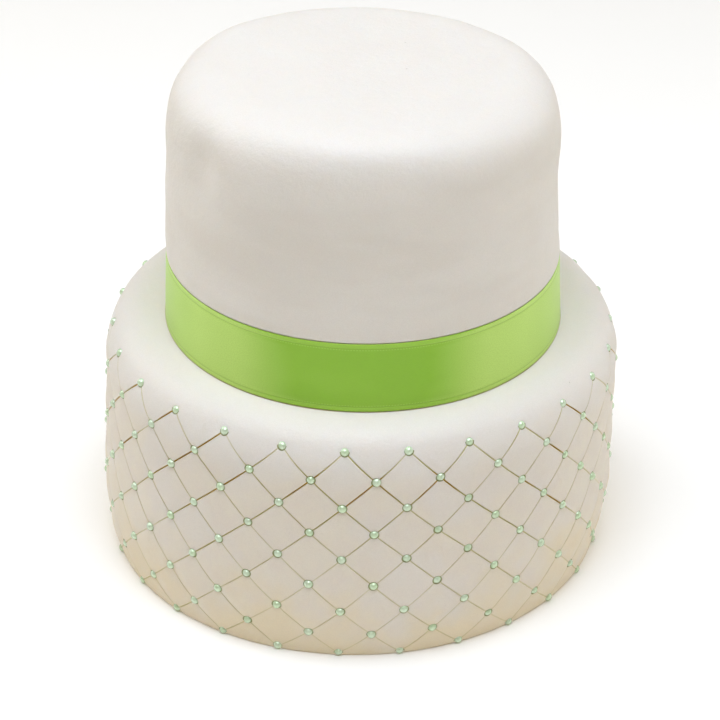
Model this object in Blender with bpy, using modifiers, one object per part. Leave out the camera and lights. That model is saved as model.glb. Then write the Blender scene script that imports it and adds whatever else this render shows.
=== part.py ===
"""Two-tier celebration cake covered in rolled icing.

The lower tier is quilted in diamonds by two sets of pressed diagonal grooves.
The upper tier is plain and softly rounded, and a satin ribbon goes once round
its foot, with its end lapped over its start at the back.

Units are metres, +Z is up, the front of the cake faces -Y, and the origin is
in the middle of the footprint, on the surface that the cake stands on.
"""

import math

import bmesh
import bpy
from mathutils import Vector

# ---------------------------------------------------------------- dimensions
MM = 0.001

# Lower tier
LOW_R = 105.0 * MM  # radius at the widest belt
LOW_FOOT_R = 101.0 * MM  # radius just above the foot
LOW_REST_R = 100.4 * MM  # radius of the face it rests on
LOW_BELT_Z = 30.0 * MM  # height of the widest belt
LOW_NECK_R = 103.6 * MM  # radius where the shoulder begins
LOW_TOP_Z = 101.3 * MM  # height of the top face at its middle
LOW_SHOULDER = 24.6 * MM  # height and depth of the rounded shoulder
LOW_SHOULDER_POWER = 3.1  # 2 is a quarter circle, more is squarer
LOW_LEAN = (0.029, 0.031)  # sideways drift for each unit of height
LOW_TILT = (-0.009, 0.012)  # slope of the top face along X and Y

# Quilting: diamonds laid out on half columns round the tier and on rows
COLUMNS = 26  # whole diamonds round the tier
ROWS = 9  # rows of crossings, the lowest just above the foot
FIRST_ROW_Z = 1.2 * MM
ROW_STEP = 11.53 * MM
ROW_SAG = 1.25 * MM  # the lowest rows sit a little low
LATTICE_TURN = -3.7  # degrees, the middle column from the front
GROOVE_DEPTH = 0.6 * MM
PUFF = 0.5 * MM  # how far a diamond's middle stands proud
FINE = 2  # mesh steps in half a diamond

# The quilting was marked by hand, so its columns and rows wander a little
COLUMN_WANDER = (-1.3, 1.6, 0.25)  # degrees: sine, cosine, double sine
ROW_WANDER = (0.07 * MM, -1.95 * MM)  # growing towards the foot: sine, cosine

# Upper tier
TOP_CENTRE = (2.16 * MM, -3.7 * MM)
TOP_GAP = 0.3 * MM  # between pieces that touch
TOP_FOOT_R = 79.6 * MM
TOP_FLARE_Z = 130.5 * MM  # above this the wall is nearly upright
TOP_WALL_R = 78.2 * MM  # radius at that height
TOP_NECK_R = 75.8 * MM  # radius where the rounded edge begins
TOP_Z = 205.9 * MM
TOP_EDGE = 30.4 * MM  # mean size of the rounded edge
TOP_EDGE_SIDE = -3.2 * MM  # change in that size towards +X
TOP_EDGE_FRONT = 12.0 * MM  # change in that size towards the front
TOP_EDGE_POWER = 3.4  # 2 is a circle, and more is a squarer edge
TOP_POWER_FRONT = 1.57  # how much squarer the edge is at the front
TOP_TILT = (-0.0347, -0.0356)  # slope of the top face along X and Y
TOP_STEPS = 72

# Ribbon: it is drawn tight, so the icing is pressed in behind it
RIBBON_T = 0.5 * MM
RIBBON_W = 28.6 * MM
RIBBON_GAP = 0.3 * MM
RIBBON_SINK = 1.0 * MM
RIBBON_LAP = 10.0  # degrees that the end covers its start, at the back
RIBBON_STEPS = 84


def clear_scene():
    for obj in list(bpy.data.objects):
        bpy.data.objects.remove(obj, do_unlink=True)


def material(name, colour, roughness, metallic=0.0):
    mat = bpy.data.materials.new(name)
    mat.use_nodes = True
    shader = next(n for n in mat.node_tree.nodes if n.type == "BSDF_PRINCIPLED")
    shader.inputs["Base Color"].default_value = (*colour, 1.0)
    shader.inputs["Roughness"].default_value = roughness
    shader.inputs["Metallic"].default_value = metallic
    mat.diffuse_color = (*colour, 1.0)
    return mat


def smooth(t):
    t = min(1.0, max(0.0, t))
    return t * t * (3.0 - 2.0 * t)


# ------------------------------------------------------------- lower tier
def low_wall(z):
    """Radius of the lower tier's barrel-shaped side at height z."""
    if z <= LOW_BELT_Z:
        t = 1.0 - max(z, 0.0) / LOW_BELT_Z
        return LOW_R - (LOW_R - LOW_FOOT_R) * t**1.5
    t = (z - LOW_BELT_Z) / (LOW_TOP_Z - LOW_SHOULDER - LOW_BELT_Z)
    return LOW_R - (LOW_R - LOW_NECK_R) * min(t, 1.0)


def low_radius(z):
    """Radius at height z, with the shoulder."""
    start = LOW_TOP_Z - LOW_SHOULDER
    if z <= start:
        return low_wall(z)
    t = min(1.0, (z - start) / LOW_SHOULDER)
    depth = (1.0 - t**LOW_SHOULDER_POWER) ** (1.0 / LOW_SHOULDER_POWER)
    return LOW_NECK_R - LOW_SHOULDER * (1.0 - depth)


def low_point(radius, angle, z):
    """Place a point of the lower tier, with its lean and its tilted top."""
    x, y = radius * math.sin(angle), -radius * math.cos(angle)
    share = max(0.0, (z - LOW_BELT_Z) / (LOW_TOP_Z - LOW_BELT_Z))
    drift = z - LOW_BELT_Z
    rise = (LOW_TILT[0] * x + LOW_TILT[1] * y) * share
    return Vector((x + LOW_LEAN[0] * drift, y + LOW_LEAN[1] * drift, z + rise))


def top_face(x, y):
    """Height of the lower tier's tilted top face."""
    drift = LOW_TOP_Z - LOW_BELT_Z
    return (
        LOW_TOP_Z
        + LOW_TILT[0] * (x - LOW_LEAN[0] * drift)
        + LOW_TILT[1] * (y - LOW_LEAN[1] * drift)
    )


def column_angle(c):
    """Angle of half column c from the front towards +X, in radians."""
    phi = math.pi * c / COLUMNS
    a, b, d = COLUMN_WANDER
    wander = a * math.sin(phi) + b * (math.cos(phi) - 1.0) + d * math.sin(2 * phi)
    return math.radians(LATTICE_TURN + 180.0 / COLUMNS * c + wander)


def row_height(r, c):
    """Height of lattice row r (0 at the top) at half column c."""
    phi = math.pi * c / COLUMNS
    up = ROWS - 1 - r
    a, b = ROW_WANDER
    drift = (a * math.sin(phi) + b * (math.cos(phi) - 1.0)) * r / (ROWS - 1)
    sag = ROW_SAG * (up / 1.3) * math.exp(1.0 - up / 1.3)
    return FIRST_ROW_Z + ROW_STEP * up - sag + drift * min(1.0, 0.45 + up / 3.0)


def quilt(c, r):
    """How far the icing stands out at half column c and row r."""
    u, v = (c - r) / 2.0, (c + r) / 2.0
    across = abs(math.sin(math.pi * u)) * abs(math.sin(math.pi * v))
    return PUFF * across - GROOVE_DEPTH * (1.0 - across) ** 6


def lower_tier():
    steps = 2 * COLUMNS * FINE
    lattice = (ROWS - 1) * FINE
    rings = []  # (kind, value): a lattice row, or a fixed height and radius
    rings.append(("foot", 0.0))
    for k in range(lattice, -1, -1):
        rings.append(("row", k / FINE))
    for k in range(1, 6):
        rings.append(("shoulder", k / 5.0))
    # the profile is spun first, then each ring takes its own heights and radii
    mesh = bpy.data.meshes.new("bottom_tier")
    bm = bmesh.new()
    column = [bm.verts.new((LOW_R, 0.0, i * MM)) for i in range(len(rings))]
    edges = [bm.edges.new(pair) for pair in zip(column, column[1:])]
    bmesh.ops.spin(
        bm,
        geom=column + edges,
        cent=(0, 0, 0),
        axis=(0, 0, 1),
        angle=math.tau,
        steps=steps,
        use_merge=True,
        use_duplicate=False,
    )
    bmesh.ops.remove_doubles(bm, verts=bm.verts, dist=1e-5)
    grooves = set()
    for vert in bm.verts:
        ring = round(vert.co.z / MM)
        step = round(math.atan2(vert.co.y, vert.co.x) / math.tau * steps) % steps
        half = step / FINE
        half = half - 2 * COLUMNS if half > COLUMNS else half
        kind, value = rings[ring]
        top_row = row_height(0, half)
        if kind == "foot":
            radius, z = LOW_REST_R, 0.0
        elif kind == "row":
            z = row_height(value, half)
            radius = low_radius(z)
            if 0 < value < ROWS - 1:
                radius += quilt(half, value)
            if (half - value) % 2 == 0 or (half + value) % 2 == 0:
                grooves.add(vert)
        else:
            z = top_row + (LOW_TOP_Z - top_row) * math.sin(value * math.pi / 2)
            radius = low_radius(z)
        vert.co = low_point(radius, column_angle(half), z)
    # every groove becomes a real crease across the faces it crosses
    bmesh.ops.connect_verts(bm, verts=[v for v in bm.verts if v in grooves])
    rims = [e for e in bm.edges if e.is_boundary]
    bmesh.ops.holes_fill(bm, edges=rims, sides=0)
    bmesh.ops.triangulate(bm, faces=[f for f in bm.faces if len(f.verts) == 4])
    bmesh.ops.recalc_face_normals(bm, faces=bm.faces)
    bm.to_mesh(mesh)
    bm.free()
    mesh.shade_smooth()
    mesh.set_sharp_from_angle(angle=math.radians(40))
    return bpy.data.objects.new("bottom_tier", mesh)


# ------------------------------------------------------------- upper tier
def top_wall(z):
    """Radius of the upper tier's side at height z, pressed in behind the ribbon."""
    foot = LOW_TOP_Z + TOP_GAP
    if z <= TOP_FLARE_Z:
        t = (z - foot) / (TOP_FLARE_Z - foot)
        radius = TOP_FOOT_R + (TOP_WALL_R - TOP_FOOT_R) * t
    else:
        t = (z - TOP_FLARE_Z) / (TOP_Z - TOP_EDGE - TOP_FLARE_Z)
        radius = TOP_WALL_R + (TOP_NECK_R - TOP_WALL_R) * min(1.0, t)
    above = z - foot - RIBBON_W
    return radius - RIBBON_SINK * (1.0 - smooth((above - 0.2 * MM) / (2.0 * MM)))


def top_place(radius, angle, z):
    """Place a point of the upper tier: its foot follows the face below it."""
    x, y = radius * math.sin(angle), -radius * math.cos(angle)
    share = min(1.0, max(0.0, (z - TOP_FLARE_Z) / (TOP_Z - TOP_FLARE_Z)))
    px, py = x + TOP_CENTRE[0], y + TOP_CENTRE[1]
    below = top_face(px, py) - LOW_TOP_Z
    above = TOP_TILT[0] * x + TOP_TILT[1] * y
    return Vector((px, py, z + below * (1.0 - share) + above * share))


def top_edge(angle):
    """Size of the rounded top edge, which the hands made uneven."""
    return TOP_EDGE + TOP_EDGE_SIDE * math.sin(angle) + TOP_EDGE_FRONT * math.cos(angle)


def top_point(angle, run):
    """Point of the upper tier: run 0..1 up the wall, 1..2 over the edge, 2..3 across the top."""
    edge = top_edge(angle)
    foot = LOW_TOP_Z + TOP_GAP
    start = TOP_Z - edge
    if run <= 0.4:  # behind the ribbon
        z = foot + RIBBON_W * run / 0.4
        radius = top_wall(z)
    elif run <= 1.0:
        t = (run - 0.4) / 0.6
        z = foot + RIBBON_W + (start - foot - RIBBON_W) * t**1.8
        radius = top_wall(z)
    elif run <= 2.0:
        a = (run - 1.0) * math.pi / 2
        power = 2.0 / (TOP_EDGE_POWER + TOP_POWER_FRONT * max(0.0, math.cos(angle)) ** 2)
        z = start + edge * math.sin(a) ** power
        radius = top_wall(start) - edge * (1.0 - max(0.0, math.cos(a)) ** power)
    else:
        z = TOP_Z
        radius = (top_wall(start) - edge) * (3.0 - run)
    return top_place(radius, angle, z)


def upper_tier():
    runs = [0.0, 0.1, 0.2, 0.3, 0.4, 0.48, 0.56, 0.64, 0.76, 0.88, 1.0]
    runs += [1.0 + k / 9.0 for k in range(1, 10)]
    runs += [2.25, 2.5, 2.75]
    mesh = bpy.data.meshes.new("top_tier")
    bm = bmesh.new()
    column = [bm.verts.new((LOW_R, 0.0, i * MM)) for i in range(len(runs))]
    edges = [bm.edges.new(pair) for pair in zip(column, column[1:])]
    bmesh.ops.spin(
        bm,
        geom=column + edges,
        cent=(0, 0, 0),
        axis=(0, 0, 1),
        angle=math.tau,
        steps=TOP_STEPS,
        use_merge=True,
        use_duplicate=False,
    )
    bmesh.ops.remove_doubles(bm, verts=bm.verts, dist=1e-5)
    for vert in bm.verts:
        angle = math.atan2(vert.co.y, vert.co.x)
        vert.co = top_point(angle, runs[round(vert.co.z / MM)])
    rims = [e for e in bm.edges if e.is_boundary]
    bmesh.ops.holes_fill(bm, edges=rims, sides=0)
    bmesh.ops.recalc_face_normals(bm, faces=bm.faces)
    bm.to_mesh(mesh)
    bm.free()
    mesh.shade_smooth()
    mesh.set_sharp_from_angle(angle=math.radians(40))
    return bpy.data.objects.new("top_tier", mesh)


# ----------------------------------------------------------------- ribbon
def ribbon():
    """A band round the upper tier's foot whose end lies over its start."""
    lap = math.radians(RIBBON_LAP)
    total = math.tau + lap
    foot = LOW_TOP_Z + TOP_GAP
    lift = RIBBON_T + RIBBON_GAP
    mesh = bpy.data.meshes.new("ribbon")
    bm = bmesh.new()
    levels = 4
    rows = []
    for i in range(RIBBON_STEPS + 1):
        run = total * i / RIBBON_STEPS
        angle = math.pi - lap / 2 + run
        out = RIBBON_GAP + lift * smooth((run - math.tau + 1.6 * lap) / (1.2 * lap))
        row = []
        for k in range(levels + 1):
            z = foot + RIBBON_W * k / levels
            row.append(bm.verts.new(top_place(top_wall(z) + out, angle, z)))
        rows.append(row)
    for a, b in zip(rows, rows[1:]):
        for k in range(levels):
            bm.faces.new((a[k], b[k], b[k + 1], a[k + 1]))
    bm.to_mesh(mesh)
    bm.free()
    mesh.shade_smooth()
    obj = bpy.data.objects.new("ribbon", mesh)
    solid = obj.modifiers.new("thickness", "SOLIDIFY")
    solid.thickness = RIBBON_T
    solid.offset = 1.0
    return obj


def main():
    clear_scene()
    group = bpy.data.collections.new("tiered_birthday_cake")
    bpy.context.scene.collection.children.link(group)
    icing = (0.80, 0.765, 0.70)
    pieces = (
        (lower_tier(), material("icing_quilted", icing, 0.55)),
        (upper_tier(), material("icing_plain", icing, 0.55)),
        (ribbon(), material("ribbon_satin", (0.30, 0.56, 0.09), 0.38)),
    )
    root = bpy.data.objects.new("cake", None)
    group.objects.link(root)
    for obj, mat in pieces:
        obj.data.materials.append(mat)
        group.objects.link(obj)
        obj.parent = root
    # the footprint's middle goes to the origin
    low = pieces[0][0]
    xs = [v.co.x for v in low.data.vertices]
    ys = [v.co.y for v in low.data.vertices]
    root.location = (-(min(xs) + max(xs)) / 2, -(min(ys) + max(ys)) / 2, 0.0)


main()
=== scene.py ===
"""Looks of the two-tier birthday cake: finely quilted icing on the lower tier,
smooth icing on the upper tier, sugar pearls and a satin ribbon."""

import math

import bpy
import numpy as np
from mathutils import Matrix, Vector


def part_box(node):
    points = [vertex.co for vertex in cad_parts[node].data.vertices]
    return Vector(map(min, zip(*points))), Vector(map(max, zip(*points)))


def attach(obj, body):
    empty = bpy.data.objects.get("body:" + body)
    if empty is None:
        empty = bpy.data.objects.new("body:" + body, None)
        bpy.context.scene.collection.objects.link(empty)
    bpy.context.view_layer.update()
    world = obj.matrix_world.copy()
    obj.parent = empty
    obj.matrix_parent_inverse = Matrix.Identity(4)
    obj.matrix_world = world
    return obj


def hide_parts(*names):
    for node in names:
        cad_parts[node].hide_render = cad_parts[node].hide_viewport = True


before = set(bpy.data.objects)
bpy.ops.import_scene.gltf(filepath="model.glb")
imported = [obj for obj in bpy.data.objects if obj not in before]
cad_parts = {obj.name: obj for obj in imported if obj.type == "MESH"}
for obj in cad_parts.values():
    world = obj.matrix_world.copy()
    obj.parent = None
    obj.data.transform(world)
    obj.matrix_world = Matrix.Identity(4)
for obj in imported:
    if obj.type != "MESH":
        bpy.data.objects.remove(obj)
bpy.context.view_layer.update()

MM = 0.001

# ------------------------------------------------- sizes shared with the CAD
LOW_R = 105.0 * MM
LOW_FOOT_R = 101.0 * MM
LOW_REST_R = 100.4 * MM
LOW_BELT_Z = 30.0 * MM
LOW_NECK_R = 103.6 * MM
LOW_TOP_Z = 101.3 * MM
LOW_SHOULDER = 24.6 * MM
LOW_SHOULDER_POWER = 3.1
LOW_LEAN = (0.029, 0.031)
LOW_TILT = (-0.009, 0.012)
COLUMNS = 26
ROWS = 9
FIRST_ROW_Z = 1.2 * MM
ROW_STEP = 11.53 * MM
ROW_SAG = 1.25 * MM
LATTICE_TURN = -3.7
COLUMN_WANDER = (-1.3, 1.6, 0.25)
ROW_WANDER = (0.07 * MM, -1.95 * MM)
TOP_CENTRE = (2.16 * MM, -3.7 * MM)
TOP_GAP = 0.3 * MM
TOP_FOOT_R = 79.6 * MM
TOP_FLARE_Z = 130.5 * MM
TOP_WALL_R = 78.2 * MM
TOP_NECK_R = 75.8 * MM
TOP_Z = 205.9 * MM
TOP_EDGE = 30.4 * MM
TOP_EDGE_SIDE = -3.2 * MM
TOP_EDGE_FRONT = 12.0 * MM
TOP_EDGE_POWER = 3.4
TOP_POWER_FRONT = 1.57
TOP_TILT = (-0.0347, -0.0356)
RIBBON_W = 28.6 * MM
RIBBON_LAP = 10.0

# the CAD puts the middle of the footprint at the origin
top_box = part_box("top_tier")
SHIFT = np.array(
    [
        (top_box[0].x + top_box[1].x) / 2 - TOP_CENTRE[0],
        (top_box[0].y + top_box[1].y) / 2 - TOP_CENTRE[1],
        0.0,
    ]
)

# ------------------------------------------------------------- fine detail
GROOVE_W = 0.20 * MM  # half width of a pressed line
GROOVE_D = 0.50 * MM
PUFF = 0.74 * MM
PEARL_R = 1.75 * MM
PEARL_SUNK = 0.66 * MM
DIMPLE_R = 1.75 * MM
DIMPLE_D = 0.50 * MM
# the band is thin and drawn tight, almost level with the icing above it
RIBBON_T = 0.36 * MM
RIBBON_GAP = 0.12 * MM
RIBBON_SINK = 0.52 * MM
RIBBON_DROP = 0.18 * MM
LINE_SPACING = 17.05 * MM  # between neighbouring parallel lines


def wobble(points, size, seed):
    """A smooth seeded field of about -1 to 1 that changes over `size`."""
    table = np.random.RandomState(seed).uniform(-1.0, 1.0, (24, 24, 24))
    q = points / size
    i = np.floor(q).astype(int)
    f = q - i
    f = f * f * f * (f * (f * 6.0 - 15.0) + 10.0)
    total = np.zeros(len(points))
    for dx in (0, 1):
        wx = f[:, 0] if dx else 1.0 - f[:, 0]
        for dy in (0, 1):
            wy = f[:, 1] if dy else 1.0 - f[:, 1]
            for dz in (0, 1):
                wz = f[:, 2] if dz else 1.0 - f[:, 2]
                cell = table[
                    (i[:, 0] + dx) % 24, (i[:, 1] + dy) % 24, (i[:, 2] + dz) % 24
                ]
                total += wx * wy * wz * cell
    return total


def smooth(t):
    t = np.clip(t, 0.0, 1.0)
    return t * t * (3.0 - 2.0 * t)


# ------------------------------------------------------- forms as in the CAD
def low_wall(z):
    below = LOW_R - (LOW_R - LOW_FOOT_R) * np.clip(1.0 - z / LOW_BELT_Z, 0.0, 1.0) ** 1.5
    t = (z - LOW_BELT_Z) / (LOW_TOP_Z - LOW_SHOULDER - LOW_BELT_Z)
    above = LOW_R - (LOW_R - LOW_NECK_R) * np.clip(t, 0.0, 1.0)
    return np.where(z <= LOW_BELT_Z, below, above)


def low_radius(z):
    start = LOW_TOP_Z - LOW_SHOULDER
    t = np.clip((z - start) / LOW_SHOULDER, 0.0, 1.0)
    depth = (1.0 - t**LOW_SHOULDER_POWER) ** (1.0 / LOW_SHOULDER_POWER)
    return np.where(z <= start, low_wall(z), LOW_NECK_R - LOW_SHOULDER * (1.0 - depth))


def low_point(radius, angle, z):
    x, y = radius * np.sin(angle), -radius * np.cos(angle)
    share = np.maximum(0.0, (z - LOW_BELT_Z) / (LOW_TOP_Z - LOW_BELT_Z))
    drift = z - LOW_BELT_Z
    rise = (LOW_TILT[0] * x + LOW_TILT[1] * y) * share
    return np.stack(
        [x + LOW_LEAN[0] * drift, y + LOW_LEAN[1] * drift, z + rise], axis=-1
    )


def top_face(x, y):
    drift = LOW_TOP_Z - LOW_BELT_Z
    return (
        LOW_TOP_Z
        + LOW_TILT[0] * (x - LOW_LEAN[0] * drift)
        + LOW_TILT[1] * (y - LOW_LEAN[1] * drift)
    )


def column_angle(c):
    phi = math.pi * c / COLUMNS
    a, b, d = COLUMN_WANDER
    wander = a * np.sin(phi) + b * (np.cos(phi) - 1.0) + d * np.sin(2 * phi)
    return np.radians(LATTICE_TURN + 180.0 / COLUMNS * c + wander)


def row_height(r, c):
    phi = math.pi * c / COLUMNS
    up = ROWS - 1 - r
    a, b = ROW_WANDER
    drift = (a * np.sin(phi) + b * (np.cos(phi) - 1.0)) * r / (ROWS - 1)
    sag = ROW_SAG * (up / 1.3) * np.exp(1.0 - up / 1.3)
    return FIRST_ROW_Z + ROW_STEP * up - sag + drift * np.minimum(1.0, 0.45 + up / 3.0)


def top_wall(z):
    foot = LOW_TOP_Z + TOP_GAP
    t = (z - foot) / (TOP_FLARE_Z - foot)
    low = TOP_FOOT_R + (TOP_WALL_R - TOP_FOOT_R) * t
    t = (z - TOP_FLARE_Z) / (TOP_Z - TOP_EDGE - TOP_FLARE_Z)
    high = TOP_WALL_R + (TOP_NECK_R - TOP_WALL_R) * np.minimum(1.0, t)
    radius = np.where(z <= TOP_FLARE_Z, low, high)
    above = z - foot - RIBBON_W + RIBBON_DROP
    return radius - RIBBON_SINK * (1.0 - smooth((above - 0.06 * MM) / (0.5 * MM)))


def top_place(radius, angle, z):
    x, y = radius * np.sin(angle), -radius * np.cos(angle)
    share = np.clip((z - TOP_FLARE_Z) / (TOP_Z - TOP_FLARE_Z), 0.0, 1.0)
    px, py = x + TOP_CENTRE[0], y + TOP_CENTRE[1]
    below = top_face(px, py) - LOW_TOP_Z
    above = TOP_TILT[0] * x + TOP_TILT[1] * y
    return np.stack([px, py, z + below * (1.0 - share) + above * share], axis=-1)


def top_point(angle, run):
    """run 0..0.4 behind the ribbon, 0.4..1 up the wall, 1..2 over the edge, 2..3 across the top."""
    edge = TOP_EDGE + TOP_EDGE_SIDE * np.sin(angle) + TOP_EDGE_FRONT * np.cos(angle)
    foot = LOW_TOP_Z + TOP_GAP
    start = TOP_Z - edge
    if run <= 0.4:
        z = foot + RIBBON_W * run / 0.4 + 0.0 * angle
        radius = top_wall(z)
    elif run <= 1.0:
        t = (run - 0.4) / 0.6
        z = foot + RIBBON_W + (start - foot - RIBBON_W) * t**1.8
        radius = top_wall(z)
    elif run <= 2.0:
        a = (run - 1.0) * math.pi / 2
        power = 2.0 / (TOP_EDGE_POWER + TOP_POWER_FRONT * np.maximum(0.0, np.cos(angle)) ** 2)
        z = start + edge * math.sin(a) ** power
        radius = top_wall(start) - edge * (1.0 - max(0.0, math.cos(a)) ** power)
    else:
        z = TOP_Z + 0.0 * angle
        radius = (top_wall(start) - edge) * (3.0 - run)
    return top_place(radius, angle, z)


# --------------------------------------------------------------- mesh making
def build(name, points, faces, mat, attributes=None):
    mesh = bpy.data.meshes.new(name)
    mesh.from_pydata([tuple(p) for p in points], [], faces)
    mesh.validate()
    mesh.update()
    for key, values in (attributes or {}).items():
        layer = mesh.attributes.new(key, "FLOAT", "POINT")
        layer.data.foreach_set("value", np.asarray(values, np.float32))
    mesh.shade_smooth()
    mesh.materials.append(mat)
    obj = bpy.data.objects.new(name, mesh)
    bpy.context.scene.collection.objects.link(obj)
    return obj


def normals_of(points, faces):
    mesh = bpy.data.meshes.new("scratch")
    mesh.from_pydata([tuple(p) for p in points], [], faces)
    mesh.update()
    out = np.zeros(len(points) * 3)
    mesh.vertex_normals.foreach_get("vector", out)
    bpy.data.meshes.remove(mesh)
    return out.reshape(-1, 3)


# ----------------------------------------------------------------- materials
class Graph:
    """Short calls for making a material's nodes."""

    def __init__(self, name):
        self.mat = bpy.data.materials.new(name)
        self.mat.use_nodes = True
        self.tree = self.mat.node_tree
        self.tree.nodes.clear()
        self.out = self.node("ShaderNodeOutputMaterial")
        self.shader = self.node("ShaderNodeBsdfPrincipled")
        self.tree.links.new(self.shader.outputs[0], self.out.inputs[0])

    def node(self, kind, **settings):
        made = self.tree.nodes.new(kind)
        for key, value in settings.items():
            setattr(made, key, value)
        return made

    def link(self, a, b):
        self.tree.links.new(a, b)

    def put(self, socket, value):
        if isinstance(value, bpy.types.NodeSocket):
            self.link(value, socket)
        else:
            socket.default_value = value

    def math(self, operation, a, b=0.0, c=0.0, clamp=False):
        n = self.node("ShaderNodeMath", operation=operation, use_clamp=clamp)
        for socket, value in zip(n.inputs, (a, b, c)):
            self.put(socket, value)
        return n.outputs[0]

    def noise(self, vector, scale, detail=2.0, roughness=0.5, distortion=0.0):
        n = self.node("ShaderNodeTexNoise")
        self.put(n.inputs["Vector"], vector)
        n.inputs["Scale"].default_value = scale
        n.inputs["Detail"].default_value = detail
        n.inputs["Roughness"].default_value = roughness
        n.inputs["Distortion"].default_value = distortion
        return n.outputs["Fac"]

    def ramp(self, value, low, high, a=0.0, b=1.0):
        n = self.node("ShaderNodeMapRange")
        n.interpolation_type = "SMOOTHSTEP"
        self.put(n.inputs["Value"], value)
        n.inputs["From Min"].default_value = low
        n.inputs["From Max"].default_value = high
        n.inputs["To Min"].default_value = a
        n.inputs["To Max"].default_value = b
        return n.outputs["Result"]

    def mix(self, factor, a, b, blend="MIX"):
        n = self.node("ShaderNodeMix", data_type="RGBA", blend_type=blend)
        self.put(n.inputs["Factor"], factor)
        for socket, value in zip((n.inputs[6], n.inputs[7]), (a, b)):
            self.put(socket, (*value, 1.0) if isinstance(value, tuple) else value)
        return n.outputs[2]

    def attribute(self, name):
        n = self.node("ShaderNodeAttribute", attribute_name=name)
        return n.outputs["Fac"]

    def bump(self, height, distance, strength=1.0, after=None):
        n = self.node("ShaderNodeBump")
        n.inputs["Strength"].default_value = strength
        n.inputs["Distance"].default_value = distance
        self.link(height, n.inputs["Height"])
        if after is not None:
            self.link(after, n.inputs["Normal"])
        return n.outputs["Normal"]


ICING = (0.812, 0.768, 0.705)
ICING_PINK = (0.812, 0.763, 0.699)
ICING_GREY = (0.800, 0.763, 0.702)
PAINTED_WARM_BOUNCE = (0.815, 0.741, 0.622)  # painted warm reflected light below the shoulder of the lower tier
# painted warm reflected light at the foot of the lower tier
PAINTED_FOOT_BOUNCE = (0.83, 0.712, 0.50)
LINE_TINT = (0.53, 0.47, 0.13)
LINE_CORE = (0.52, 0.315, 0.006)
PEARL_RING_STAIN_AND_SHADE = (0.25, 0.26, 0.07)


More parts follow.
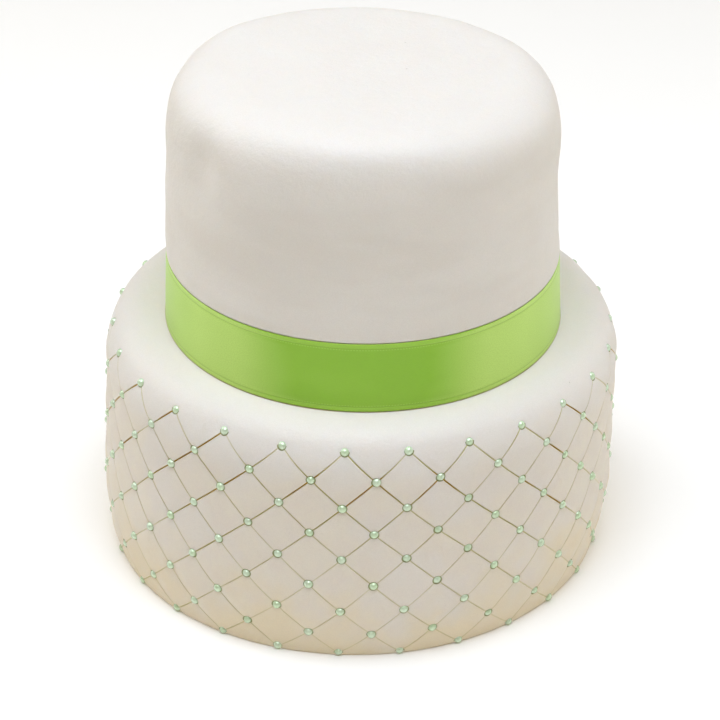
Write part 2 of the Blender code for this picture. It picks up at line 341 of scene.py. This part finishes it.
def icing(name, quilted):
    g = Graph(name)
    place = g.node("ShaderNodeTexCoord").outputs["Object"]
    split = g.node("ShaderNodeSeparateXYZ")
    g.link(place, split.inputs[0])
    x, y, z = split.outputs[0], split.outputs[1], split.outputs[2]
    patch = g.noise(place, 38.0, 3.0, 0.55)
    colour = g.mix(g.ramp(patch, 0.42, 0.62), ICING, ICING_PINK)
    cloud = g.noise(place, 95.0, 3.0, 0.6, 0.4)
    colour = g.mix(g.ramp(cloud, 0.45, 0.68, 0.0, 0.7), colour, ICING_GREY)
    if quilted:
        # painted warm reflected light: below its shoulder the lower tier is painted creamier, in uneven
        # patches
        high = g.math("ADD", z, g.math("MULTIPLY", g.math("SUBTRACT", patch, 0.5), 0.03))
        warm_bounce = g.mix(g.ramp(cloud, 0.42, 0.62, 0.0, 0.8), PAINTED_WARM_BOUNCE, (0.80, 0.722, 0.628))
        lilac = g.noise(place, 26.0, 2.0, 0.5)
        warm_bounce = g.mix(g.ramp(lilac, 0.50, 0.62, 0.0, 0.7), warm_bounce, (0.795, 0.738, 0.672))
        colour = g.mix(g.ramp(high, 0.072, 0.092, 0.92, 0.0), colour, warm_bounce)
        # painted warm reflected light: the lower tier is painted more orange towards its foot, in uneven
        # patches
        low = g.math("ADD", z, g.math("MULTIPLY", g.math("SUBTRACT", patch, 0.5), 0.09))
        colour = g.mix(g.ramp(low, -0.002, 0.041, 0.92, 0.0), colour, PAINTED_FOOT_BOUNCE)
    else:
        # the smoothed side is a little uneven in tone, in level streaks
        level = g.node("ShaderNodeVectorMath", operation="MULTIPLY")
        g.link(place, level.inputs[0])
        level.inputs[1].default_value = (0.5, 0.5, 1.7)
        streak = g.noise(level.outputs[0], 36.0, 2.0, 0.5)
        streak = g.math(
            "MULTIPLY", g.ramp(streak, 0.42, 0.64, 0.0, 0.6), g.ramp(z, 0.184, 0.198, 1.0, 0.0)
        )
        colour = g.mix(streak, colour, (0.768, 0.718, 0.648))
    # the fine grain of the sugar
    grain = g.noise(place, 2300.0, 2.0, 0.6)
    colour = g.mix(g.ramp(grain, 0.30, 0.70, 0.16, 0.0), colour, (0.60, 0.55, 0.47))
    # sparse specks and pinholes
    cells = g.node("ShaderNodeTexVoronoi")
    g.link(place, cells.inputs["Vector"])
    cells.inputs["Scale"].default_value = 110.0
    chosen = g.node("ShaderNodeSeparateColor")
    g.link(cells.outputs["Color"], chosen.inputs[0])
    rare = g.math("LESS_THAN", chosen.outputs[0], 0.06)
    speck = g.math("MULTIPLY", rare, g.ramp(cells.outputs["Distance"], 0.02, 0.05, 1.0, 0.0))
    colour = g.mix(g.math("MULTIPLY", speck, 0.45), colour, (0.33, 0.30, 0.22))
    if quilted:
        # the pressed lines are tinted olive, more strongly where the line is deeper, and the deepest ones
        # brown
        lines, cores = [], []
        for way in ("u", "v"):
            near, force = g.attribute("near_" + way), g.attribute("force_" + way)
            tone = g.math("MULTIPLY_ADD", force, 0.75, 0.28, clamp=True)
            lines.append(g.math("MULTIPLY", g.ramp(near, 0.10, 0.36, 1.0, 0.0), tone))
            strong = g.ramp(force, 0.94, 1.12)
            cores.append(g.math("MULTIPLY", g.ramp(near, 0.15, 0.42, 1.0, 0.0), strong))
        colour = g.mix(g.math("MAXIMUM", lines[0], lines[1]), colour, LINE_TINT)
        core = g.math("MULTIPLY", g.math("MAXIMUM", cores[0], cores[1]), 0.9)
        colour = g.mix(core, colour, LINE_CORE)
        # a dark olive ring in the icing round each pearl: partly dye bled from the pearl, partly painted
        # contact shadow
        near = g.math(
            "SQRT",
            g.math(
                "ADD",
                g.math("POWER", g.attribute("near_u"), 2.0),
                g.math("POWER", g.attribute("near_v"), 2.0),
            ),
        )
        ring = g.ramp(near, 1.80, 2.00, 0.9, 0.0)
        colour = g.mix(ring, colour, PEARL_RING_STAIN_AND_SHADE)
        # a thin brown painted shadow line where the ribbon's lower edge touches the icing
        away = g.math(
            "SQRT",
            g.math(
                "ADD",
                g.math("POWER", g.math("SUBTRACT", x, TOP_CENTRE[0] + SHIFT[0]), 2.0),
                g.math("POWER", g.math("SUBTRACT", y, TOP_CENTRE[1] + SHIFT[1]), 2.0),
            ),
        )
        edge = TOP_FOOT_R - RIBBON_SINK + RIBBON_GAP + RIBBON_T
        # painted light: the ledge beside the ribbon is tinted pinker to cancel the green light the ribbon
        # throws onto it
        painted_bounce_offset = g.ramp(away, edge, edge + 11.0 * MM, 0.6, 0.0)
        painted_bounce_offset = g.math("MULTIPLY", painted_bounce_offset, g.ramp(z, 0.094, 0.096))
        colour = g.mix(painted_bounce_offset, colour, (0.862, 0.765, 0.748))
        # painted shadow along the ribbon's lower edge
        painted_contact_shadow = g.ramp(away, edge + 0.08 * MM, edge + 0.34 * MM, 0.55, 0.0)
        painted_contact_shadow = g.math("MULTIPLY", painted_contact_shadow, g.ramp(z, 0.094, 0.096))
        colour = g.mix(painted_contact_shadow, colour, (0.50, 0.36, 0.14))
    g.link(colour, g.shader.inputs["Base Color"])
    g.link(g.ramp(cloud, 0.3, 0.7, 0.46, 0.58), g.shader.inputs["Roughness"])
    s = g.shader.inputs
    s["Specular IOR Level"].default_value = 0.42
    s["Subsurface Weight"].default_value = 0.22
    s["Subsurface Radius"].default_value = (1.0, 0.72, 0.45)
    s["Subsurface Scale"].default_value = 0.0025
    peel = g.noise(place, 360.0, 3.0, 0.6)
    pores = g.noise(place, 1500.0, 2.0, 0.5)
    wave = g.noise(place, 120.0, 2.0, 0.5)
    normal = g.bump(wave, 0.0006, 0.30)
    normal = g.bump(peel, 0.00036, 0.60, normal)
    normal = g.bump(pores, 0.00009, 0.8, normal)
    pit = g.math("SUBTRACT", 1.0, speck)
    normal = g.bump(pit, 0.0002, 0.8, normal)
    g.link(normal, s["Normal"])
    return g.mat


def satin():
    g = Graph("satin_ribbon")
    uv = g.node("ShaderNodeUVMap", uv_map="weave").outputs[0]
    split = g.node("ShaderNodeSeparateXYZ")
    g.link(uv, split.inputs[0])
    along, across = split.outputs[0], split.outputs[1]  # in metres
    # long thin floats of the satin weave
    stretch = g.node("ShaderNodeCombineXYZ")
    g.link(g.math("MULTIPLY", along, 420.0), stretch.inputs[0])
    g.link(g.math("MULTIPLY", across, 3600.0), stretch.inputs[1])
    floats = g.noise(stretch.outputs[0], 1.0, 2.0, 0.6)
    patch = g.node("ShaderNodeCombineXYZ")
    g.link(g.math("MULTIPLY", along, 28.0), patch.inputs[0])
    g.link(g.math("MULTIPLY", across, 60.0), patch.inputs[1])
    cloud = g.noise(patch.outputs[0], 1.0, 2.0, 0.5)
    colour = g.mix(g.ramp(cloud, 0.35, 0.65), (0.200, 0.510, 0.003), (0.222, 0.538, 0.007))
    colour = g.mix(g.ramp(floats, 0.3, 0.7, 0.0, 0.25), colour, (0.29, 0.585, 0.02))
    # the selvage: a paler strip inside each edge, a fine line and small stitches
    inside = g.math("MINIMUM", across, g.math("SUBTRACT", RIBBON_W, across))
    strip = g.ramp(inside, 0.0018, 0.0021, 0.75, 0.0)
    colour = g.mix(strip, colour, (0.325, 0.655, 0.045))
    # painted sheen: the satin floats are painted paler as the band turns away from the view
    turn = g.node("ShaderNodeLayerWeight")
    turn.inputs["Blend"].default_value = 0.5
    painted_sheen = g.math("POWER", g.ramp(turn.outputs["Facing"], 0.170, 0.345), 0.6)
    far = g.ramp(turn.outputs["Facing"], 0.46, 0.64, 0.0, 0.17)
    mottle = g.ramp(cloud, 0.3, 0.7, -0.03, 0.03)
    painted_sheen = g.math("ADD", g.math("SUBTRACT", painted_sheen, far), mottle, clamp=True)
    colour = g.mix(painted_sheen, colour, (0.54, 0.82, 0.182))
    line = g.math("ABSOLUTE", g.math("SUBTRACT", inside, 0.0020))
    line = g.ramp(line, 0.00008, 0.00028, 1.0, 0.0)
    colour = g.mix(g.math("MULTIPLY", line, 0.40), colour, (0.15, 0.38, 0.012))
    row = g.math("ABSOLUTE", g.math("SUBTRACT", inside, 0.0025))
    row = g.ramp(row, 0.00010, 0.00032, 1.0, 0.0)
    stitch = g.math("FRACT", g.math("MULTIPLY", along, 900.0))
    stitch = g.math("LESS_THAN", stitch, 0.55)
    bright = g.math("MULTIPLY", row, g.math("MULTIPLY_ADD", stitch, 0.45, 0.1))
    colour = g.mix(bright, colour, (0.44, 0.72, 0.11))
    # painted shade: the band's lower edge, where it sits on the icing, is painted darker
    painted_dark_edge = g.ramp(across, 0.0001, 0.0005, 0.45, 0.0)
    colour = g.mix(painted_dark_edge, colour, (0.22, 0.33, 0.015))
    # the grain of single threads
    threads = g.node("ShaderNodeCombineXYZ")
    g.link(g.math("MULTIPLY", along, 1900.0), threads.inputs[0])
    g.link(g.math("MULTIPLY", across, 2600.0), threads.inputs[1])
    grain = g.noise(threads.outputs[0], 1.0, 2.0, 0.6)
    colour = g.mix(g.ramp(grain, 0.35, 0.62, 0.20, 0.0), colour, (0.17, 0.40, 0.01))
    g.link(colour, g.shader.inputs["Base Color"])
    s = g.shader.inputs
    # the threads run round the cake, so highlights spread across the band
    s["Roughness"].default_value = 0.46
    s["IOR"].default_value = 1.8
    s["Specular IOR Level"].default_value = 1.0
    s["Specular Tint"].default_value = (0.90, 1.0, 0.42, 1.0)
    s["Anisotropic"].default_value = 0.9
    s["Anisotropic Rotation"].default_value = 0.25
    thread = g.node("ShaderNodeTangent", direction_type="RADIAL", axis="Z")
    g.link(thread.outputs[0], s["Tangent"])
    s["Sheen Weight"].default_value = 0.25
    s["Sheen Roughness"].default_value = 0.3
    s["Sheen Tint"].default_value = (0.92, 1.0, 0.75, 1.0)
    normal = g.bump(floats, 0.00005, 0.5)
    normal = g.bump(g.math("MULTIPLY", line, -1.0), 0.00015, 0.6, normal)
    g.link(normal, s["Normal"])
    return g.mat


def pearl():
    g = Graph("pearl_lustre")
    place = g.node("ShaderNodeTexCoord").outputs["Object"]
    cloud = g.noise(place, 900.0, 2.0, 0.5)
    colour = g.mix(g.ramp(cloud, 0.35, 0.65), (0.60, 0.78, 0.49), (0.68, 0.83, 0.58))
    tone = g.noise(place, 160.0, 0.0, 0.5)
    colour = g.mix(g.ramp(tone, 0.35, 0.65, 0.0, 0.5), colour, (0.72, 0.83, 0.68))
    # painted shade and reflection: each pearl is painted darker olive towards its outline
    painted_dark_edge = g.node("ShaderNodeLayerWeight")
    painted_dark_edge.inputs["Blend"].default_value = 0.35
    colour = g.mix(g.ramp(painted_dark_edge.outputs["Facing"], 0.50, 0.86, 0.0, 0.9), colour, (0.20, 0.27, 0.07))
    g.link(colour, g.shader.inputs["Base Color"])
    s = g.shader.inputs
    s["Metallic"].default_value = 0.25
    s["Roughness"].default_value = 0.24
    s["Specular IOR Level"].default_value = 0.6
    s["Coat Weight"].default_value = 0.35
    s["Coat Roughness"].default_value = 0.12
    g.link(g.bump(cloud, 0.00004, 0.5), s["Normal"])
    return g.mat


def floor_finish():
    g = Graph("plain_floor")
    place = g.node("ShaderNodeTexCoord").outputs["Object"]
    cloud = g.noise(place, 3.0, 2.0, 0.5)
    colour = g.mix(g.ramp(cloud, 0.3, 0.7), (0.95, 0.935, 0.90), (0.96, 0.945, 0.91))
    g.link(colour, g.shader.inputs["Base Color"])
    g.shader.inputs["Roughness"].default_value = 0.7
    g.shader.inputs["Specular IOR Level"].default_value = 0.2
    g.shader.inputs["Emission Color"].default_value = (1.0, 0.94, 0.84, 1.0)
    # painted light: the floor itself glows, faintly near the cake and more strongly far from it, as a
    # studio's lit pale sweep would look
    split = g.node("ShaderNodeSeparateXYZ")
    g.link(place, split.inputs[0])
    far = g.math(
        "SQRT",
        g.math(
            "ADD", g.math("POWER", split.outputs[0], 2.0), g.math("POWER", split.outputs[1], 2.0)
        ),
    )
    g.link(g.ramp(far, 0.9, 2.4, 0.07, 0.48), g.shader.inputs["Emission Strength"])
    return g.mat


# --------------------------------------------------------------- lower tier
def stops():
    """Where mesh lines cross one diamond, close together beside a groove."""
    half = [0.0, 0.10, 0.20, 0.32, 0.48, 0.75, 1.3, 2.1, 3.6, 6.0]
    half = [v * MM / LINE_SPACING for v in half]
    return half + [0.5] + [1.0 - v for v in half[:0:-1]]


def lattice_warp(c, r):
    """The hand-marked lines wander a little, and so do the pearls on them."""
    phi = math.pi * c / COLUMNS
    p = np.stack([1.9 * np.cos(phi), 1.9 * np.sin(phi), 0.45 * r], axis=-1)
    return 0.040 * wobble(p, 1.0, 3), 0.035 * wobble(p, 1.0, 4)


def quilted_tier(mat):
    s = stops()
    n = len(s)
    around, tall = COLUMNS * n, (ROWS - 1) * n
    steps = np.array([k // n + s[k % n] for k in range(around + tall + 1)])
    i, k = np.meshgrid(np.arange(around), np.arange(tall + 1), indexing="ij")
    i, k = i.ravel(), k.ravel()
    u, v = steps[i], steps[i + k]
    c, r = u + v, v - u
    near_u = np.abs(u - np.round(u)) * LINE_SPACING
    near_v = np.abs(v - np.round(v)) * LINE_SPACING
    dc, dr = lattice_warp(c, r)
    inner = smooth(r / 0.6) * smooth((ROWS - 1 - r) / 0.6)
    z = row_height(r + dr * inner, c)
    angle = column_angle(c + dc)
    points = low_point(low_radius(z), angle, z)

    def index(a, b):
        return (a % around) * (tall + 1) + b

    faces = []
    for a in range(around):
        faces.append((index(a, 0), index(a, 1), index(a + 1, 0)))
        for b in range(1, tall):
            faces.append(
                (index(a, b), index(a, b + 1), index(a + 1, b), index(a + 1, b - 1))
            )
        faces.append((index(a, tall), index(a + 1, tall), index(a + 1, tall - 1)))

    # how deep each pressed line is: weaker low down, and uneven
    phi = math.pi * c / COLUMNS
    p = np.stack([3.4 * np.cos(phi), 3.4 * np.sin(phi), 0.8 * r], axis=-1)
    fade = 1.0 - 0.66 * smooth((r - 1.5) / 4.5)
    # the strokes that lean one way are firmer on one half of the tier
    half = np.sin(column_angle(c))
    force_u = fade * (0.72 + 0.75 * wobble(p, 1.0, 11)) * (1.0 + 0.30 * half)
    force_v = fade * (0.72 + 0.75 * wobble(p, 1.0, 12)) * (1.0 - 0.30 * half)
    force_u, force_v = np.clip(force_u, 0.10, 1.3), np.clip(force_v, 0.10, 1.3)
    line_u = np.exp(-((near_u / GROOVE_W) ** 2)) * force_u
    line_v = np.exp(-((near_v / GROOVE_W) ** 2)) * force_v
    groove = np.maximum(line_u, line_v)
    # the tool raises a fine lip on each side
    lip_u = np.exp(-(((near_u - 0.52 * MM) / (0.22 * MM)) ** 2)) * force_u
    lip_v = np.exp(-(((near_v - 0.52 * MM) / (0.22 * MM)) ** 2)) * force_v
    lip = 0.18 * MM * np.maximum(lip_u, lip_v)
    puff = np.abs(np.sin(math.pi * u)) ** 0.75 * np.abs(np.sin(math.pi * v)) ** 0.75
    ends = smooth(r / 0.8) * smooth((ROWS - 1 - r) / 0.8)
    to_pearl = np.hypot(near_u, near_v)
    dimple = np.exp(-((to_pearl / DIMPLE_R) ** 4))
    push = PUFF * puff * ends + (lip - GROOVE_D * groove) * (1.0 - dimple) - DIMPLE_D * dimple

    # the shoulder and the top face go on from the top row
    rings = [np.arange(around) * (tall + 1)]
    extra, more = [], []
    base_c = 2.0 * steps[:around]
    top_angle = column_angle(base_c + dc[rings[0]])
    z0 = row_height(0.0, base_c)
    start = LOW_TOP_Z - LOW_SHOULDER
    a0 = np.arcsin(np.clip((z0 - start) / LOW_SHOULDER, 0, 1) ** (LOW_SHOULDER_POWER / 2))
    power = 2.0 / LOW_SHOULDER_POWER
    count = len(points)
    SHOULDER_RINGS = 18
    for m in range(1, SHOULDER_RINGS + 1):
        a = a0 + (math.pi / 2 - a0) * m / SHOULDER_RINGS
        zz = start + LOW_SHOULDER * np.sin(a) ** power
        rr = LOW_NECK_R - LOW_SHOULDER * (1.0 - np.maximum(0.0, np.cos(a)) ** power)
        extra.append(low_point(rr, top_angle, zz))
    inner_r = LOW_NECK_R - LOW_SHOULDER
    for share in (0.93, 0.8, 0.55, 0.25):
        extra.append(low_point(inner_r * share + 0 * top_angle, top_angle, LOW_TOP_Z + 0 * top_angle))
    for ring in extra:
        rings.append(np.arange(count, count + around))
        count += around
        more.append(ring)
    middle = low_point(np.array([0.0]), np.array([0.0]), np.array([LOW_TOP_Z]))
    top_middle = count
    count += 1
    more.append(middle)
    for lower, upper in zip(rings, rings[1:]):
        for a in range(around):
            b = (a + 1) % around
            faces.append((lower[a], lower[b], upper[b], upper[a]))
    for a in range(around):
        faces.append((rings[-1][a], rings[-1][(a + 1) % around], top_middle))

    # the rounded foot and the underside
    foot_c = 2.0 * steps[:around] + (ROWS - 1)
    foot_rows = np.arange(around) * (tall + 1) + tall
    foot_angle = column_angle(foot_c + dc[foot_rows])
    z8 = row_height(float(ROWS - 1), foot_c)
    foot = [foot_rows]
    for share, radius in ((0.55, 0.25), (0.2, 0.62), (0.0, 1.0)):
        zz = z8 * share
        rr = low_wall(z8) * (1.0 - radius) + LOW_REST_R * radius
        more.append(low_point(rr, foot_angle, zz))
        foot.append(np.arange(count, count + around))
        count += around
    for share in (0.9, 0.6, 0.3):
        more.append(low_point(LOW_REST_R * share + 0 * foot_angle, foot_angle, 0 * foot_angle))
        foot.append(np.arange(count, count + around))
        count += around
    more.append(low_point(np.array([0.0]), np.array([0.0]), np.array([0.0])))
    for upper, lower in zip(foot, foot[1:]):
        for a in range(around):
            b = (a + 1) % around
            faces.append((lower[a], lower[b], upper[b], upper[a]))
    for a in range(around):
        faces.append((foot[-1][(a + 1) % around], foot[-1][a], count))
    added = np.concatenate(more)
    points = np.concatenate([points, added])
    zeros = np.zeros(len(added))
    push = np.concatenate([push, zeros])
    values = {
        "near_u": np.concatenate([near_u / MM, zeros + 9.0]),
        "near_v": np.concatenate([near_v / MM, zeros + 9.0]),
        "force_u": np.concatenate([force_u, zeros]),
        "force_v": np.concatenate([force_v, zeros]),
    }

    # the whole tier was smoothed by hand, so it isn't a perfect barrel
    normal = normals_of(points, faces)
    hand = 0.46 * MM * wobble(points, 34 * MM, 21) + 0.26 * MM * wobble(points, 12 * MM, 22)
    hidden = np.hypot(points[:, 0] - TOP_CENTRE[0], points[:, 1] - TOP_CENTRE[1])
    under = smooth((hidden - 80.0 * MM) / (6.0 * MM)) + smooth((LOW_TOP_Z - 6 * MM - points[:, 2]) / (4 * MM))
    hand *= np.clip(under, 0, 1) * smooth(points[:, 2] / (6.0 * MM))
    points = points + normal * (push + hand)[:, None]
    points[:, 2] = np.maximum(points[:, 2], 0.0)
    points += SHIFT
    return build("quilted_icing", points, faces, mat, values)


# --------------------------------------------------------------- upper tier
def plain_tier(mat):
    steps = 300
    runs = list(np.linspace(0.0, 0.4, 9)) + [0.405, 0.411, 0.418, 0.426, 0.436, 0.45]
    runs += list(np.linspace(0.47, 1.0, 22)) + list(np.linspace(1.0, 2.0, 34))[1:]
    runs += [2.06, 2.14, 2.25, 2.38, 2.52, 2.66, 2.8, 2.92]
    angle = np.arange(steps) * math.tau / steps
    rings = [top_point(angle, run) for run in runs]
    points = np.concatenate(rings)
    count = len(points)
    points = np.concatenate(
        [
            points,
            top_place(np.array([0.0]), np.array([0.0]), np.array([TOP_Z])),
            top_place(np.array([0.0]), np.array([0.0]), np.array([LOW_TOP_Z + TOP_GAP])),
        ]
    )
    faces = []
    for m in range(len(runs) - 1):
        for a in range(steps):
            b = (a + 1) % steps
            faces.append((m * steps + a, m * steps + b, (m + 1) * steps + b, (m + 1) * steps + a))
    last = (len(runs) - 1) * steps
    for a in range(steps):
        b = (a + 1) % steps
        faces.append((last + a, last + b, count))
        faces.append((b, a, count + 1))
    normal = normals_of(points, faces)
    hand = 0.50 * MM * wobble(points + 1.0, 36 * MM, 31) + 0.22 * MM * wobble(points, 13 * MM, 32)
    # low ridges where the icing was stroked round the side
    hand += 0.85 * MM * wobble(points * np.array([0.45, 0.45, 1.6]), 26 * MM, 33)
    # a thumb's press near the top of the left side
    press = np.array([-58.5, -48.5, 185.0]) * MM
    far = np.linalg.norm((points - press) * np.array([1.0, 1.0, 0.9]), axis=1)
    hand -= 3.0 * MM * np.exp(-((far / (9.5 * MM)) ** 2))
    free = smooth((points[:, 2] - LOW_TOP_Z - RIBBON_W - 2.0 * MM) / (8.0 * MM))
    points = points + normal * (hand * free)[:, None]
    points += SHIFT
    return build("smooth_icing", points, faces, mat)


# ------------------------------------------------------------------- ribbon
def ribbon_band(mat):
    lap = math.radians(RIBBON_LAP)
    total = math.tau + lap
    foot = LOW_TOP_Z + TOP_GAP - RIBBON_DROP
    lift = RIBBON_T + RIBBON_GAP
    steps = 440
    rise = [0.0, 0.12, 0.3, 0.6, 1.0, 1.4, 1.7, 2.0, 2.6, 4.0, 6.5, 9.5, 12.5, 14.3]
    rise = rise + [RIBBON_W / MM - v for v in rise[-2::-1]]
    rise = np.array(rise) * MM
    tall = len(rise)
    run = total * np.arange(steps + 1) / steps
    angle = math.pi - lap / 2 + run
    out = RIBBON_GAP + lift * smooth((run - math.tau + 1.6 * lap) / (1.2 * lap))
    angle2, rise2 = np.meshgrid(angle, rise, indexing="ij")
    out2 = np.repeat(out[:, None], tall, axis=1)
    inside = np.minimum(rise2, RIBBON_W - rise2)
    z = foot + rise2
    half = RIBBON_T / 2 * np.sqrt(np.clip(1.0 - (1.0 - np.clip(inside / (0.25 * MM), 0, 1)) ** 2, 0.04, 1.0))
    ridge = -0.05 * MM * np.exp(-(((inside - 2.0 * MM) / (0.28 * MM)) ** 2))
    mid = top_wall(z) + out2 + RIBBON_T / 2
    flat_angle, flat_z = angle2.ravel(), z.ravel()
    outer = top_place((mid + half + ridge).ravel(), flat_angle, flat_z)
    inner = top_place((mid - half).ravel(), flat_angle, flat_z)
    points = np.concatenate([outer, inner])
    # tiny ripples where the band isn't drawn quite flat, kept off the icing
    ripple = 0.07 * MM * (1.0 + wobble(points, 17 * MM, 41))
    centre = np.array([TOP_CENTRE[0], TOP_CENTRE[1], 0.0])
    away = points - centre
    away[:, 2] = 0.0
    away /= np.linalg.norm(away, axis=1)[:, None]
    points = points + away * ripple[:, None]
    points += SHIFT
    size = (steps + 1) * tall

    def at(a, b, side):
        return side * size + a * tall + b

    faces = []
    for a in range(steps):
        for b in range(tall - 1):
            faces.append((at(a, b, 0), at(a + 1, b, 0), at(a + 1, b + 1, 0), at(a, b + 1, 0)))
            faces.append((at(a, b, 1), at(a, b + 1, 1), at(a + 1, b + 1, 1), at(a + 1, b, 1)))
        faces.append((at(a, 0, 1), at(a + 1, 0, 1), at(a + 1, 0, 0), at(a, 0, 0)))
        e = tall - 1
        faces.append((at(a, e, 0), at(a + 1, e, 0), at(a + 1, e, 1), at(a, e, 1)))
    for b in range(tall - 1):
        faces.append((at(0, b, 0), at(0, b + 1, 0), at(0, b + 1, 1), at(0, b, 1)))
        faces.append((at(steps, b, 1), at(steps, b + 1, 1), at(steps, b + 1, 0), at(steps, b, 0)))
    obj = build("satin_ribbon", points, faces, mat)
    weave = obj.data.uv_layers.new(name="weave")
    length = np.concatenate([(run * TOP_FOOT_R).repeat(tall)] * 2)
    height = np.concatenate([rise2.ravel()] * 2)
    loops = np.zeros(len(obj.data.loops), int)
    obj.data.loops.foreach_get("vertex_index", loops)
    pairs = np.stack([length[loops], height[loops]], axis=1)
    weave.data.foreach_set("uv", pairs.astype(np.float32).ravel())
    return obj


# ------------------------------------------------------------------- pearls
def pearls(mat):
    rng = np.random.RandomState(57)
    around, tall = 22, 13
    lat = np.linspace(0.0, math.pi, tall + 1)[1:-1]
    lon = np.arange(around) * math.tau / around
    ball = [(0.0, 0.0, 1.0)]
    ball += [
        (math.sin(a) * math.cos(b), math.sin(a) * math.sin(b), math.cos(a))
        for a in lat
        for b in lon
    ]
    ball.append((0.0, 0.0, -1.0))
    ball = np.array(ball)
    own = []
    for b in range(around):
        c = (b + 1) % around
        own.append((0, 1 + b, 1 + c))
        for a in range(len(lat) - 1):
            p, q = 1 + a * around, 1 + (a + 1) * around
            own.append((p + b, q + b, q + c, p + c))
        p = 1 + (len(lat) - 1) * around
        own.append((p + c, p + b, len(ball) - 1))
    points, faces = [], []
    for row in range(ROWS):
        for column in range(2 * COLUMNS):
            if (column - row) % 2:
                continue
            c, r = np.array([float(column)]), np.array([float(row)])
            dc, dr = lattice_warp(c, r)
            inner = smooth(r / 0.6) * smooth((ROWS - 1 - r) / 0.6)
            c = c + dc + rng.normal(0.0, 0.007)
            z = row_height(r + dr * inner, c - dc) + rng.normal(0.0, 0.08) * MM
            size = PEARL_R * (1.0 + np.clip(rng.normal(0.0, 0.03), -0.06, 0.06))
            z = np.maximum(z, size + 0.05 * MM)
            angle = column_angle(c)
            here = low_point(low_radius(z), angle, z)[0]
            step = 0.4 * MM
            up = low_point(low_radius(z + step), angle, z + step)[0] - here
            side = low_point(low_radius(z), angle + 0.004, z)[0] - here
            facing = np.cross(side, up)
            facing /= np.linalg.norm(facing)
            if row == ROWS - 1:
                facing[2] = 0.0
                facing /= np.linalg.norm(facing)
            centre = here - facing * (PEARL_SUNK + rng.uniform(-0.16, 0.14) * MM)
            # each ball is a little out of round and turned its own way
            turn = np.linalg.qr(rng.normal(size=(3, 3)))[0]
            squash = np.diag(1.0 + rng.uniform(-0.03, 0.03, 3))
            body = ball @ (turn @ squash @ turn.T) * size
            start = sum(len(p) for p in points)
            points.append(centre + body)
            faces += [tuple(start + v for v in f) for f in own]
    points = np.concatenate(points) + SHIFT
    points[:, 2] = np.maximum(points[:, 2], 0.0)
    return build("sugar_pearls", points, faces, mat)


# -------------------------------------------------------------------- making
quilt = quilted_tier(icing("icing_quilted_finish", True))
plain = plain_tier(icing("icing_plain_finish", False))
band = ribbon_band(satin())
beads = pearls(pearl())

for obj in (quilt, plain, band, beads):
    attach(obj, "root")
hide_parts("bottom_tier")
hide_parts("top_tier")
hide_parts("ribbon")

# ------------------------------------------------------------ floor and light
bpy.ops.mesh.primitive_plane_add(size=30.0, location=(0, 0, 0))
floor = bpy.context.object
floor.name = "floor"
floor.data.materials.append(floor_finish())


def panel(name, place, aim, width, height, power, colour=(1.0, 1.0, 1.0)):
    data = bpy.data.lights.new(name, "AREA")
    data.shape = "RECTANGLE"
    data.size, data.size_y = width, height
    data.energy = power
    data.color = colour
    obj = bpy.data.objects.new(name, data)
    bpy.context.scene.collection.objects.link(obj)
    from mathutils import Vector

    way = Vector(aim) - Vector(place)
    obj.location = place
    obj.rotation_euler = way.to_track_quat("-Z", "Y").to_euler()
    return obj


panel("overhead", (0.0, -0.30, 1.7), (0, 0, 0.1), 1.6, 1.3, 27.6, (1.02, 1.125, 1.31))
panel("rear_left", (-1.22, 0.62, 0.95), (0, 0, 0.12), 1.0, 1.0, 6.6)
panel("rear_right", (1.30, 0.70, 0.62), (0, 0, 0.12), 1.0, 1.0, 3.8)
panel("low_right", (0.55, -0.15, 0.03), (0, 0, 0.09), 0.5, 0.10, 0.18)

world = bpy.data.worlds.new("studio")
bpy.context.scene.world = world
world.use_nodes = True
sky = next(n for n in world.node_tree.nodes if n.type == "BACKGROUND")
sky.inputs[0].default_value = (1.0, 0.70, 0.18, 1.0)
sky.inputs[1].default_value = 0.16

camera = bpy.data.cameras.new("camera")
camera.lens = 125.405
camera.sensor_width = 36.0
camera.clip_start = 0.01
view = bpy.data.objects.new("camera", camera)
bpy.context.scene.collection.objects.link(view)
ELEVATION, DISTANCE = math.radians(30.653), 1.02826
target = (1.0 * MM + SHIFT[0], -1.8 * MM + SHIFT[1], 74.92 * MM)
view.location = (
    target[0],
    target[1] - DISTANCE * math.cos(ELEVATION),
    target[2] + DISTANCE * math.sin(ELEVATION),
)
view.rotation_euler = (math.pi / 2 - ELEVATION, 0.0, 0.0)
bpy.context.scene.camera = view
bpy.context.scene.view_settings.view_transform = "Standard"
bpy.context.scene.view_settings.look = "None"
